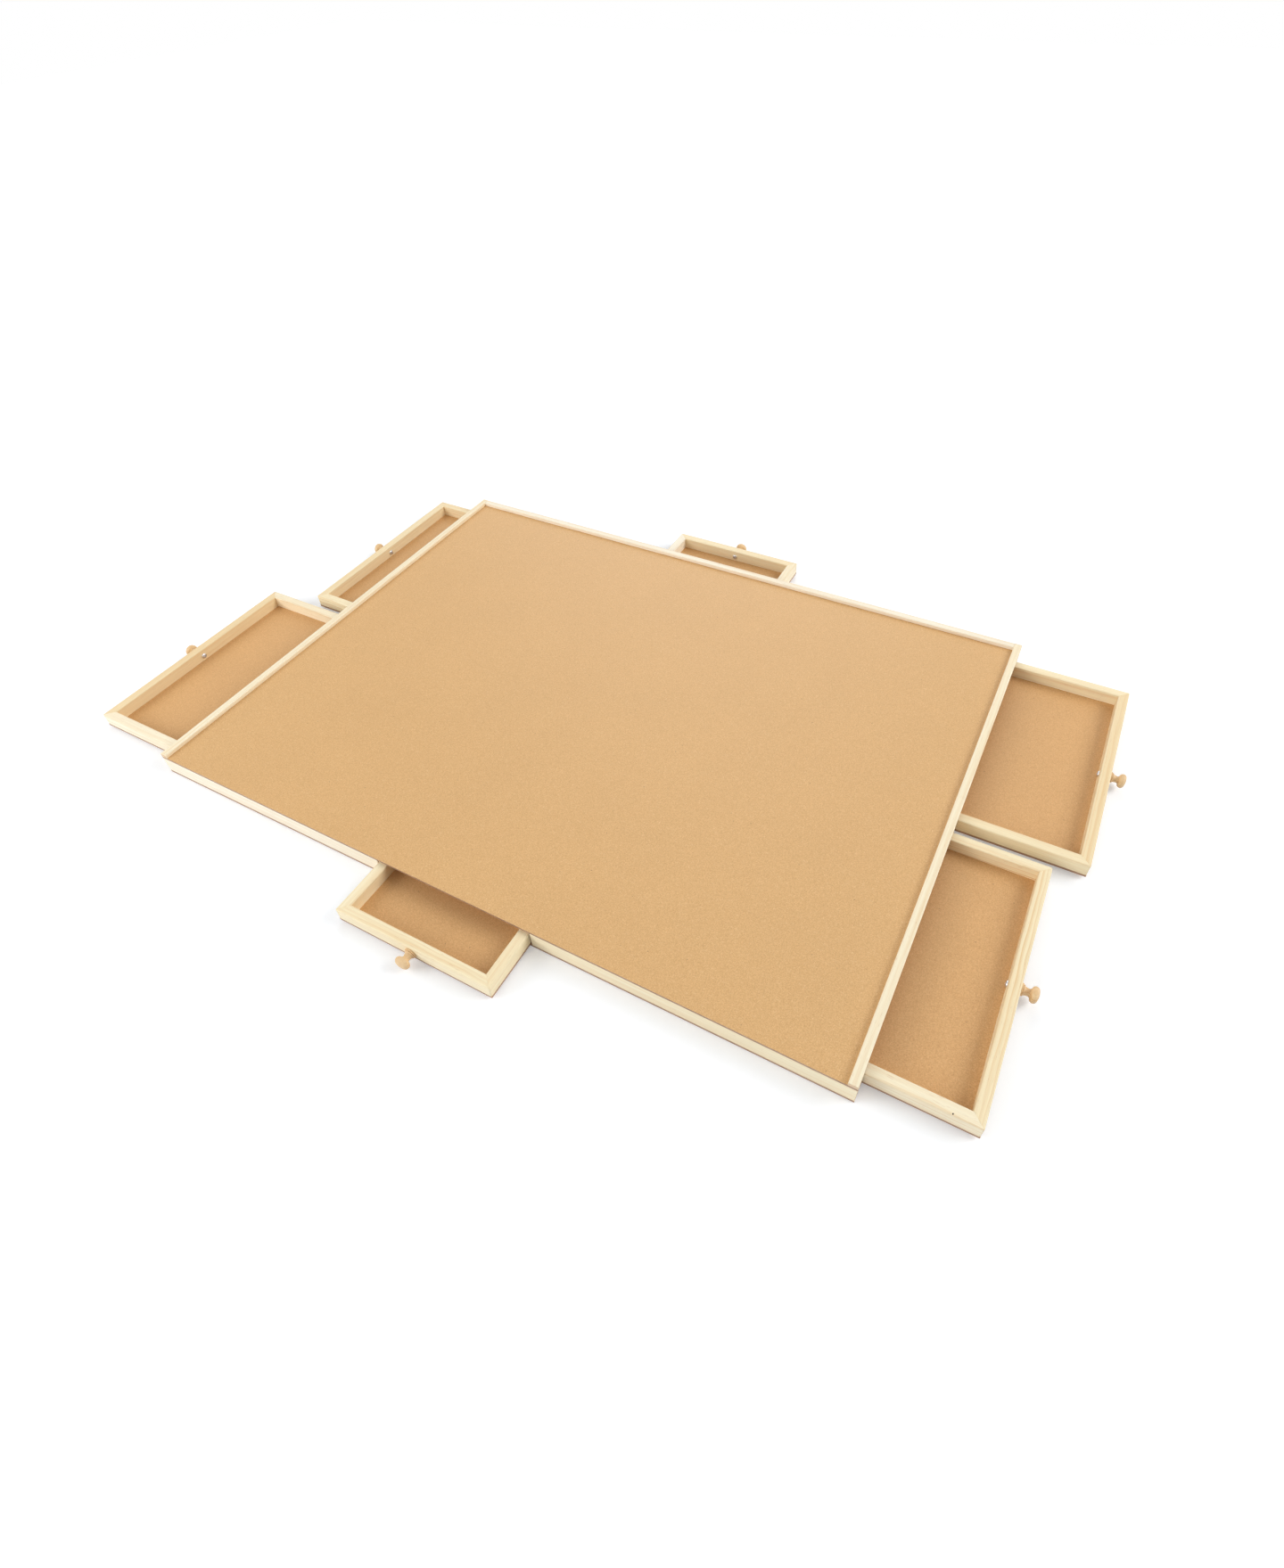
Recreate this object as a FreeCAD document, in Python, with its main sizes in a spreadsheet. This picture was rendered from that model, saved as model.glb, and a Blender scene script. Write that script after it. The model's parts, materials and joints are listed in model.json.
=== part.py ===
"""Tabletop jigsaw puzzle board with six drawers.

A shallow box of pine rails between two hardboard panels. A pine lip guards three edges of the work
surface, and the front edge is open. Three pairs of drawers slide out of the left, right, front and
back edges. The frame has its origin under the middle of the base panel: +X to the right along the
front edge, +Y towards the back and +Z up. All lengths are in millimetres.
"""

import FreeCAD, Part
import os
import Sketcher

# Name in the sheet, value, meaning. Each of these sizes can be changed by itself.
DRIVING_SIZES = [
    ("board_width", 889.0, "outside of the board, left to right"),
    ("board_depth", 660.0, "outside of the board, front to back"),
    ("surface_thickness", 3.0, "hardboard of the work surface"),
    ("base_thickness", 3.0, "hardboard of the base panel"),
    ("rail_height", 21.5, "pine rails, from the base panel to the work surface"),
    ("front_rail_thickness", 17.0, "front rails, front to back"),
    ("back_rail_thickness", 22.0, "back rails, front to back"),
    ("divider_thickness", 16.0, "dividers between front and back drawers"),
    ("wall_thickness", 12.0, "walls of the middle bays"),
    ("lip_width", 9.6, "pine lip round the work surface"),
    ("lip_height", 5.0, "top of the lip over the work surface"),
    ("lip_arris", 0.8, "rounding of the lip's upper edges"),
    ("middle_drawer_width", 198.0, "outside of the front and back drawers"),
    ("side_clearance", 1.5, "gap each side of a drawer"),
    ("stop_clearance", 0.5, "gap behind a closed drawer"),
    ("running_clearance", 0.25, "gap under a drawer"),
    ("drawer_stock", 12.0, "thickness of the drawer boards"),
    ("drawer_frame_height", 16.0, "height of the drawer boards"),
    ("drawer_floor_thickness", 3.0, "hardboard of the drawer floors"),
    ("drawer_arris", 1.2, "rounding of the drawer boards' upper edges"),
    ("left_front_opening", 140.5, "how far this drawer stands out at rest"),
    ("left_back_opening", 73.0, "how far this drawer stands out at rest"),
    ("right_front_opening", 105.0, "how far this drawer stands out at rest"),
    ("right_back_opening", 140.0, "how far this drawer stands out at rest"),
    ("front_opening", 67.0, "how far this drawer stands out at rest"),
    ("back_opening", 64.0, "how far this drawer stands out at rest"),
    ("knob_length", 17.5, "how far a knob stands off its drawer"),
    ("knob_flange_radius", 6.8, "foot of the knob"),
    ("knob_flange_thickness", 1.7, "foot of the knob"),
    ("knob_ring_radius", 5.7, "step on the foot"),
    ("knob_ring_thickness", 1.3, "step on the foot"),
    ("knob_neck_radius", 4.4, "thinnest part of the stem"),
    ("knob_neck_height", 6.8, "thinnest part of the stem, from the foot"),
    ("knob_head_radius", 8.4, "widest part of the head"),
    ("knob_dome_height", 4.2, "widest part of the head to the front"),
    ("knob_rim_height", 2.9, "half the thickness of the rounded head"),
    ("knob_rim_inset", 1.4, "edges of the rounded head inside its widest part"),
    ("knob_solid_end", 6.0, "wood in front of the screw bore"),
    ("screw_radius", 1.5, "shank of the knob screw"),
    ("screw_head_radius", 3.6, "pan head of the knob screw"),
    ("screw_head_height", 2.2, "pan head of the knob screw"),
    ("screw_hole_clearance", 0.25, "round the shank in the drawer board"),
    ("screw_bore_clearance", 0.05, "round the shank in the knob"),
    ("screw_tip_clearance", 1.0, "beyond the tip in the knob"),
    ("brad_radius", 0.8, "brads that hold the base panel"),
    ("brad_length", 16.0, "brads that hold the base panel"),
    ("brad_sink", 0.3, "brad heads under the face of the base panel"),
    ("brad_clearance", 0.05, "round a brad in its hole"),
    ("brad_tip_clearance", 1.0, "beyond the tip in the rail"),
    ("brad_inset", 24.0, "outer brads from the ends of their rail"),
]


class Size:
    """A length that knows its value and the expression that gives it in the document."""

    def __init__(self, text, value):
        self.text = text
        self.value = value

    def joined(self, sign, other, value):
        return Size(f"({self.text} {sign} {as_size(other).text})", value)

    def __add__(self, other):
        return self.joined("+", other, self.value + as_size(other).value)

    def __sub__(self, other):
        return self.joined("-", other, self.value - as_size(other).value)

    def __mul__(self, factor):
        return self.joined("*", factor, self.value * as_size(factor).value)

    def __truediv__(self, divisor):
        return self.joined("/", divisor, self.value / as_size(divisor).value)

    def __neg__(self):
        return Size(f"(0 - {self.text})", -self.value)


def as_size(number):
    if isinstance(number, Size):
        return number
    return Size(repr(float(number)), float(number))


class Driving:
    """The driving sizes as attributes, each tied to its cell in the sheet."""


def fill_sheet(document):
    sheet = document.addObject("Spreadsheet::Sheet", "Sizes")
    driving = Driving()
    for row, (alias, value, meaning) in enumerate(DRIVING_SIZES, start=1):
        sheet.set(f"A{row}", meaning)
        sheet.set(f"B{row}", str(value))
        sheet.setAlias(f"B{row}", alias)
        setattr(driving, alias, Size(f"Sizes.{alias}", value))
    document.recompute()
    return driving


doc = FreeCAD.newDocument("puzzle_board")
size = fill_sheet(doc)
zero = as_size(0)

# Planes of the board, worked out from the driving sizes.
right_edge = size.board_width / 2
left_edge = -right_edge
back_edge = size.board_depth / 2
front_edge = -back_edge
rail_bottom = size.base_thickness
surface_bottom = rail_bottom + size.rail_height
surface_top = surface_bottom + size.surface_thickness

# The side bays share what the rails and the divider leave of the depth.
side_bay_width = (
    size.board_depth - size.front_rail_thickness - size.divider_thickness - size.back_rail_thickness
) / 2
front_rail_back = front_edge + size.front_rail_thickness
divider_front = front_rail_back + side_bay_width
divider_back = divider_front + size.divider_thickness
back_rail_front = back_edge - size.back_rail_thickness
middle_bay_right = size.middle_drawer_width / 2 + size.side_clearance
middle_bay_left = -middle_bay_right
wall_right = middle_bay_right + size.wall_thickness
wall_left = -wall_right

# Drawers: a closed one is flush with the board's edge and stops just short of the bay's end.
side_drawer_width = side_bay_width - size.side_clearance * 2
side_drawer_depth = right_edge - wall_right - size.stop_clearance
front_drawer_depth = divider_front - front_edge - size.stop_clearance
back_drawer_depth = back_edge - divider_back - size.stop_clearance
drawer_bottom = rail_bottom + size.running_clearance
screw_height = (size.drawer_floor_thickness + size.drawer_frame_height) / 2
knob_bore_depth = size.knob_length - size.knob_solid_end
screw_length = size.drawer_stock + knob_bore_depth - size.screw_tip_clearance


# ---------------------------------------------------------------- sketches and features


def origin_plane(body, role):
    return next(item for item in body.Origin.OriginFeatures if item.Role == role)


def new_sketch(body, name, role):
    sketch = body.newObject("Sketcher::SketchObject", name)
    sketch.AttachmentSupport = [(origin_plane(body, role), "")]
    sketch.MapMode = "FlatFace"
    return sketch


def tie_point(sketch, geometry, end, x, y):
    """Fix one end of a sketch element at x, y."""
    for kind, length, axis in (("DistanceX", x, "x"), ("DistanceY", y, "y")):
        index = sketch.addConstraint(Sketcher.Constraint(kind, -1, 1, geometry, end, length.value))
        name = f"{axis}_{geometry}_{end}"
        sketch.renameConstraint(index, name)
        sketch.setExpression(f"Constraints.{name}", length.text)


def vector(x, y):
    return FreeCAD.Vector(x.value, y.value, 0)


def add_line(sketch, start, end):
    line = sketch.addGeometry(Part.LineSegment(vector(*start), vector(*end)), False)
    tie_point(sketch, line, 1, *start)
    return line


def add_arc(sketch, start, through, end):
    """An arc over a middle point, with all three points tied. A sketch keeps arcs anticlockwise."""
    corners = [vector(*start), vector(*through), vector(*end)]
    anticlockwise = (corners[1] - corners[0]).cross(corners[2] - corners[1]).z > 0
    if not anticlockwise:
        corners.reverse()
    arc = sketch.addGeometry(Part.Arc(*corners), False)
    first = 1 if anticlockwise else 2
    tie_point(sketch, arc, first, *start)
    guide = sketch.addGeometry(Part.Point(vector(*through)), True)
    tie_point(sketch, guide, 1, *through)
    sketch.addConstraint(Sketcher.Constraint("PointOnObject", guide, 1, arc))
    return arc, first


def add_outline(sketch, stretches):
    """A closed outline. Each stretch is (start,) for a line or (start, through) for an arc."""
    elements = []
    for number, stretch in enumerate(stretches):
        end = stretches[(number + 1) % len(stretches)][0]
        if len(stretch) == 1:
            elements.append((add_line(sketch, stretch[0], end), 1))
        else:
            elements.append(add_arc(sketch, stretch[0], stretch[1], end))
    for number, (element, first) in enumerate(elements):
        following, following_first = elements[(number + 1) % len(elements)]
        last = 3 - first
        sketch.addConstraint(
            Sketcher.Constraint("Coincident", element, last, following, following_first)
        )


def add_circle(sketch, centre, radius):
    normal = FreeCAD.Vector(0, 0, 1)
    circle = sketch.addGeometry(Part.Circle(vector(*centre), normal, radius.value), False)
    tie_point(sketch, circle, 3, *centre)
    index = sketch.addConstraint(Sketcher.Constraint("Radius", circle, radius.value))
    name = f"radius_{circle}"
    sketch.renameConstraint(index, name)
    sketch.setExpression(f"Constraints.{name}", radius.text)


def new_body(label, place, yaw):
    body = doc.addObject("PartDesign::Body", label)
    body.Label = label
    body.Placement.Rotation = FreeCAD.Rotation(FreeCAD.Vector(0, 0, 1), yaw)
    for axis, length in zip("xyz", place):
        body.setExpression(f"Placement.Base.{axis}", length.text)
    return body


def pad(body, sketch, height):
    feature = body.newObject("PartDesign::Pad", f"{body.Name}_pad")
    feature.Profile = sketch
    feature.setExpression("Length", height.text)
    doc.recompute()
    return feature


def pocket(body, sketch, depth, backwards):
    """Cut a sketch into the body along its normal, or against it."""
    volume = body.Shape.Volume
    feature = body.newObject("PartDesign::Pocket", f"{body.Name}_pocket")
    feature.Profile = sketch
    feature.setExpression("Length", depth.text)
    feature.Reversed = not backwards
    doc.recompute()
    if body.Shape.Volume >= volume:
        raise ValueError(f"the pocket in {body.Label} cuts nothing")
    return feature


def revolve(body, sketch):
    """A full turn of a sketch about the body's X axis."""
    feature = body.newObject("PartDesign::Revolution", f"{body.Name}_turned")
    feature.Profile = sketch
    feature.ReferenceAxis = (sketch, ["H_Axis"])
    feature.Angle = 360
    doc.recompute()
    return feature


def long_top_edges(shape):
    """Names of the two long edges round the top of a plain board."""
    top = shape.BoundBox.ZMax
    flat = []
    for number, edge in enumerate(shape.Edges, start=1):
        if edge.BoundBox.ZMin > top - 1e-6:
            flat.append((edge.Length, f"Edge{number}"))
    flat.sort(reverse=True)
    return [name for length, name in flat[:2]]


def ease_edges(body, feature, radius, wall):
    """Round the long upper edges, by no more than a third of the board's thickness."""
    fillet = body.newObject("PartDesign::Fillet", f"{body.Name}_eased")
    fillet.Base = (feature, long_top_edges(feature.Shape))
    fillet.setExpression("Radius", f"min({radius.text}; {(wall / 3).text})")
    doc.recompute()
    return fillet


def rectangle(x_range, y_range):
    """The corners of a rectangle, anticlockwise from the lowest x and y."""
    (x0, x1), (y0, y1) = x_range, y_range
    return [(x0, y0), (x1, y0), (x1, y1), (x0, y1)]


def board(label, place, yaw, corners, height):
    """A flat board with this outline, which stands on its own z = 0."""
    body = new_body(label, place, yaw)
    sketch = new_sketch(body, f"{label}_outline", "XY_Plane")
    add_outline(sketch, [(corner,) for corner in corners])
    return body, pad(body, sketch, height)


# ---------------------------------------------------------------- the fixed board


def brad_places(x_range, y_range):
    """Three brads along the middle of a rail: one near each end and one halfway."""
    (x0, x1), (y0, y1) = x_range, y_range
    x_middle = (x0 + x1) / 2
    y_middle = (y0 + y1) / 2
    if x1.value - x0.value > y1.value - y0.value:
        return [(x, y_middle) for x in (x0 + size.brad_inset, x_middle, x1 - size.brad_inset)]
    return [(x_middle, y) for y in (y0 + size.brad_inset, y_middle, y1 - size.brad_inset)]


def drill_for_brads(body, places, depth):
    """Holes up from the body's underside."""
    sketch = new_sketch(body, f"{body.Name}_holes", "XY_Plane")
    for place in places:
        add_circle(sketch, place, size.brad_radius + size.brad_clearance)
    pocket(body, sketch, depth, backwards=False)


def build_rails():
    """Pine rails, walls and dividers between the panels. Returns the places of their brads."""
    front = (front_edge, front_rail_back)
    back = (back_rail_front, back_edge)
    between_rails = (front_rail_back, back_rail_front)
    divider = (divider_front, divider_back)
    middle_bay = (middle_bay_left, middle_bay_right)
    rails = {
        "front_rail_left": ((left_edge, middle_bay_left), front),
        "front_rail_right": ((middle_bay_right, right_edge), front),
        "back_rail_left": ((left_edge, middle_bay_left), back),
        "back_rail_right": ((middle_bay_right, right_edge), back),
        "bay_wall_left": ((wall_left, middle_bay_left), between_rails),
        "bay_wall_right": ((middle_bay_right, wall_right), between_rails),
        "side_divider_left": ((left_edge, wall_left), divider),
        "side_divider_right": ((wall_right, right_edge), divider),
        "centre_divider": (middle_bay, divider),
    }
    place = (zero, zero, rail_bottom)
    brad_tip = size.brad_sink + size.brad_length
    hole_depth = brad_tip + size.brad_tip_clearance - size.base_thickness
    all_places = []
    for label, (x_range, y_range) in rails.items():
        body, _ = board(label, place, 0, rectangle(x_range, y_range), size.rail_height)
        places = brad_places(x_range, y_range)
        drill_for_brads(body, places, hole_depth)
        all_places += places
    return all_places


def build_base(places):
    """The base panel, and the brads that hold it to the rails."""
    outline = rectangle((left_edge, right_edge), (front_edge, back_edge))
    body, _ = board("base_panel", (zero, zero, zero), 0, outline, size.base_thickness)
    drill_for_brads(body, places, size.base_thickness)
    brads = new_body("base_brads", (zero, zero, size.brad_sink), 0)
    sketch = new_sketch(brads, "base_brads_section", "XY_Plane")
    for place in places:
        add_circle(sketch, place, size.brad_radius)
    pad(brads, sketch, size.brad_length)


def build_surface():
    """The work surface and the lip on its left, right and back edges."""
    depth = (front_edge, back_edge)
    outline = rectangle((left_edge, right_edge), depth)
    board("work_surface", (zero, zero, surface_bottom), 0, outline, size.surface_thickness)
    inner_left = left_edge + size.lip_width
    inner_right = right_edge - size.lip_width
    lips = {
        "left_lip": ((left_edge, inner_left), depth),
        "right_lip": ((inner_right, right_edge), depth),
        "back_lip": ((inner_left, inner_right), (back_edge - size.lip_width, back_edge)),
    }
    for label, (x_range, y_range) in lips.items():
        place = (zero, zero, surface_top)
        body, feature = board(label, place, 0, rectangle(x_range, y_range), size.lip_height)
        ease_edges(body, feature, size.lip_arris, size.lip_width)


# ---------------------------------------------------------------- the drawers

# A drawer is built with its face at x = 0, looking along +X, and its floor's underside at z = 0.


def raised(place, height):
    x, y, z = place
    return (x, y, z + height)


def build_drawer_boards(name, place, yaw, width, depth, side_names):
    """Four boards stand on the edge of the floor and meet in mitred corners."""
    half = width / 2
    stock = size.drawer_stock
    outside = rectangle((-depth, zero), (-half, half))
    inside = rectangle((stock - depth, -stock), (stock - half, half - stock))
    board(f"{name}_floor", place, yaw, outside, size.drawer_floor_thickness)
    over_floor = raised(place, size.drawer_floor_thickness)
    # Each board runs from one corner of the rectangles to the next.
    for corner, part_name in enumerate((side_names[0], "face", side_names[1], "back")):
        following = (corner + 1) % len(outside)
        corners = [outside[corner], outside[following], inside[following], inside[corner]]
        label = f"{name}_{part_name}"
        body, feature = board(label, over_floor, yaw, corners, size.drawer_frame_height)
        ease_edges(body, feature, size.drawer_arris, stock)
        if part_name == "face":
            hole = new_sketch(body, f"{label}_hole", "YZ_Plane")
            radius = size.screw_radius + size.screw_hole_clearance
            add_circle(hole, (zero, screw_height - size.drawer_floor_thickness), radius)
            pocket(body, hole, stock, backwards=True)


def build_knob(name, place, yaw):
    """A turned knob: stepped foot, waisted stem and round, flat-domed head, bored from the foot."""
    body = new_body(f"{name}_knob", raised(place, screw_height), yaw)
    sketch = new_sketch(body, f"{body.Name}_profile", "XZ_Plane")
    bore_radius = size.screw_radius + size.screw_bore_clearance
    foot = size.knob_flange_thickness
    stem_start = foot + size.knob_ring_thickness
    stem_radius = (size.knob_ring_radius + size.knob_neck_radius) / 2
    widest = size.knob_length - size.knob_dome_height
    rim_radius = size.knob_head_radius - size.knob_rim_inset
    rim_start = widest - size.knob_rim_height
    rim_end = widest + size.knob_rim_height
    # Halfway out, a flat dome stands three quarters of its height over the rim.
    dome_middle = rim_end + (size.knob_length - rim_end) * 0.75
    add_outline(
        sketch,
        [
            ((zero, bore_radius),),
            ((zero, size.knob_flange_radius),),
            ((foot, size.knob_flange_radius),),
            ((foot, size.knob_ring_radius),),
            ((stem_start, size.knob_ring_radius),),
            ((stem_start, stem_radius), (size.knob_neck_height, size.knob_neck_radius)),
            ((rim_start, rim_radius), (widest, size.knob_head_radius)),
            ((rim_end, rim_radius), (dome_middle, rim_radius / 2)),
            ((size.knob_length, zero),),
            ((knob_bore_depth, zero),),
            ((knob_bore_depth, bore_radius),),
        ],
    )
    revolve(body, sketch)


def build_screw(name, place, yaw):
    """The screw that holds the knob: pan head inside the face, shank through it."""
    body = new_body(f"{name}_screw", raised(place, screw_height), yaw)
    sketch = new_sketch(body, f"{body.Name}_profile", "XZ_Plane")
    seat = -size.drawer_stock
    crown = seat - size.screw_head_height
    crown_radius = size.screw_head_radius / 2
    shoulder = seat - size.screw_head_height / 3
    tip = seat + screw_length
    bevel = tip - size.screw_radius
    add_outline(
        sketch,
        [
            ((crown, zero),),
            ((crown, crown_radius),),
            ((shoulder, size.screw_head_radius),),
            ((seat, size.screw_head_radius),),
            ((seat, size.screw_radius),),
            ((bevel, size.screw_radius),),
            ((tip, zero),),
        ],
    )
    revolve(body, sketch)


def build_drawer(name, place, yaw, width, depth, side_names):
    build_drawer_boards(name, place, yaw, width, depth, side_names)
    build_knob(name, place, yaw)
    build_screw(name, place, yaw)


def build_drawers():
    """Two drawers in each side edge and one in the front and the back edge."""
    front_row = (front_rail_back + divider_front) / 2
    back_row = (divider_back + back_rail_front) / 2
    # Side of the board, row, how far the drawer stands out.
    side_drawers = {
        "left_front_drawer": (180, front_row, size.left_front_opening),
        "left_back_drawer": (180, back_row, size.left_back_opening),
        "right_front_drawer": (0, front_row, size.right_front_opening),
        "right_back_drawer": (0, back_row, size.right_back_opening),
    }
    for name, (yaw, row, opening) in side_drawers.items():
        face = right_edge + opening
        place = (face if yaw == 0 else -face, row, drawer_bottom)
        # Turned by half a turn, the drawer's first side is the one towards the back.
        sides = ("near_side", "far_side") if yaw == 0 else ("far_side", "near_side")
        build_drawer(name, place, yaw, side_drawer_width, side_drawer_depth, sides)
    width = size.middle_drawer_width
    front_place = (zero, front_edge - size.front_opening, drawer_bottom)
    front_sides = ("left_side", "right_side")
    build_drawer("front_drawer", front_place, -90, width, front_drawer_depth, front_sides)
    back_place = (zero, back_edge + size.back_opening, drawer_bottom)
    back_sides = ("right_side", "left_side")
    build_drawer("back_drawer", back_place, 90, width, back_drawer_depth, back_sides)


def check_document():
    for item in doc.Objects:
        if "Invalid" in item.State or "Error" in item.State:
            raise ValueError(f"{item.Label} is {item.State}")
        if item.TypeId == "PartDesign::Body" and (item.Shape.isNull() or not item.Shape.isValid()):
            raise ValueError(f"{item.Label} has no valid shape")


def write_parts():
    os.makedirs("parts", exist_ok=True)
    for item in doc.Objects:
        if item.TypeId == "PartDesign::Body":
            item.Shape.exportStep(f"parts/{item.Label}.step")


build_base(build_rails())
build_surface()
build_drawers()
doc.recompute()
check_document()
write_parts()
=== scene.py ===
"""The looks of the jigsaw puzzle board: eased pine boards, pressed fibre panels, turned knobs and their
screws, each built round its CAD node and sized from it. Everything is in metres, in the CAD frame:
+X to the right along the front edge, +Y towards the back and +Z up."""

import json
import math
import random

import bmesh
import bpy
from mathutils import Euler, Matrix, Vector

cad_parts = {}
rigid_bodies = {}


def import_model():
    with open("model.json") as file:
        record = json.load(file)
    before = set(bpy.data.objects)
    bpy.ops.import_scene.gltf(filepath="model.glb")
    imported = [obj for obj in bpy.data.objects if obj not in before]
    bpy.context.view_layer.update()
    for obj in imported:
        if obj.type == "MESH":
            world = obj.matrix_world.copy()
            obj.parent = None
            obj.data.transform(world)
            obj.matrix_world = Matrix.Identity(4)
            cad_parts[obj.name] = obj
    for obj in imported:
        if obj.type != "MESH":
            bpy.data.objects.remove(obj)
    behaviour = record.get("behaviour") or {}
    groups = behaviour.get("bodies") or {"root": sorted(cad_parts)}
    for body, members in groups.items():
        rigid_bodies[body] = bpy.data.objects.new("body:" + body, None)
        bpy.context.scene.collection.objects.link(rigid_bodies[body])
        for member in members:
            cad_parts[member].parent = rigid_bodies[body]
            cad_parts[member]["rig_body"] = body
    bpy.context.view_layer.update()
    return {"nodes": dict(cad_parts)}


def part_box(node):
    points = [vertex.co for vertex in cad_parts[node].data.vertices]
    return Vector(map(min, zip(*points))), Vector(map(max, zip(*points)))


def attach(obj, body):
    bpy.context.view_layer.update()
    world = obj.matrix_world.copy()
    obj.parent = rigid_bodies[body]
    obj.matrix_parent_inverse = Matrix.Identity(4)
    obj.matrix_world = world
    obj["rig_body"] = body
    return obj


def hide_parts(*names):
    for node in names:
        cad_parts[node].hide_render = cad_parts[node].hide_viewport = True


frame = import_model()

MM = 0.001
SQUARE = ((-1, -1), (1, -1), (1, 1), (-1, 1))  # the signs of a square's corners, in turn
WHITE = (1.0, 1.0, 1.0)

SIDE_DRAWERS = ("left_front_drawer", "left_back_drawer", "right_front_drawer", "right_back_drawer")
MIDDLE_DRAWERS = ("front_drawer", "back_drawer")


# ---------------------------------------------------------------- sizes that only the looks have

EDGE_EASE = 0.35 * MM  # sanded edges of rails, dividers and board ends
LIP_ARRIS = 0.8 * MM  # upper edges of the lip
DRAWER_ARRIS = 1.2 * MM  # upper edges of the drawer boards
MITRE_GROOVE = 0.22 * MM  # fine groove where two mitred boards meet
CORNER_ROUND = 1.6 * MM  # upright outer corners of a drawer
PANEL_EASE = 0.3 * MM  # edges of the hardboard panels

ARRIS_STEPS = 4  # segments of a rounded long edge
END_STEPS = 3  # segments of the rounded edge round an end
CORNER_STEPS = 5  # segments of an upright outer corner
PANEL_STEPS = 2  # segments of a panel's edge
TURNED_STEPS = 72  # segments round a knob or a screw
FLANGE_STEPS = 5  # segments of each arc in the outline of a knob, from its foot outwards
BEAD_STEPS = 9
STEM_STEPS = 8
FLARE_STEPS = 10
RIM_STEPS = 16
DOME_STEPS = 14
HEAD_STEPS = 6  # and of each arc in the outline of a screw's or brad's head
AXIS_RADIUS = 0.0001 * MM  # a smaller radius counts as a point on the axis

BOARD_CREASE = 35  # degrees; an edge that turns by more than its crease looks sharp
SCREW_CREASE = 40
KNOB_CREASE = 50

# A knob, from its foot outwards
FLANGE_RADIUS = 6.8 * MM
FLANGE_THICKNESS = 1.7 * MM
FLANGE_EASE = 0.45 * MM
BEAD_RADIUS = 5.8 * MM
BEAD_THICKNESS = 1.6 * MM
BEAD_BULGE = 0.45 * MM
NECK_RADIUS = 3.8 * MM
NECK_HEIGHT = 7.7 * MM  # from the foot to where the stem is thinnest
STEM_SWELL = 0.25 * MM  # how much wider the stem is halfway between bead and neck
FLARE_ALONG = 0.68  # a point between neck and rim, as shares of the way along and of the way out
FLARE_OUT = 0.33
RIM_HEIGHT = 3.2 * MM  # from the widest part to each end of the rounded rim
RIM_INSET = 2.0 * MM
DOME_HEIGHT = 4.4 * MM  # from the widest part to the crown
DOME_HALF_WIDTH = 0.75  # how far up the dome is half as wide as at its start, as a share

# A pan-head screw. A point of its head is (depth below the crown, share of the head's radius).
HEAD_HEIGHT = 2.2 * MM
HEAD_TOP = (0.14 * MM, 0.4)
HEAD_SHOULDER = (0.45 * MM, 0.7)
HEAD_FLANK = (0.95 * MM, 0.93)
HEAD_BRIM = 0.3  # how far above the seat the head is widest, as a share of its height
HEAD_EASE = 0.15 * MM  # under the brim
SHANK_RADIUS = 1.5 * MM
RECESS_DEPTH = 1.5 * MM
RECESS_REACH = 2.1 * MM  # from the middle to the end of one arm, at the crown
RECESS_WIDTH = 0.95 * MM
RECESS_FLOOR = (0.35, 0.74)  # the cross at the bottom, as shares of its reach and width
RECESS_CLEARANCE = 1.0 * MM  # how far the cutter stands out of the head

# A brad head in the top of the right front drawer's near side
BRAD_RADIUS = 0.95 * MM
BRAD_FROM_FACE = 27.1 * MM
BRAD_INSET = 1.6 * MM  # from the side's outer face
BRAD_LENGTH = 1.2 * MM  # below the top of the wood
BRAD_SHOULDER = 0.1 * MM  # below it
BRAD_ROUND = (0.02 * MM, 0.6)  # (height over the wood, share of the radius)
BRAD_CROWN = 0.05 * MM  # over it


# ---------------------------------------------------------------- how the wood was cut

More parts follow.
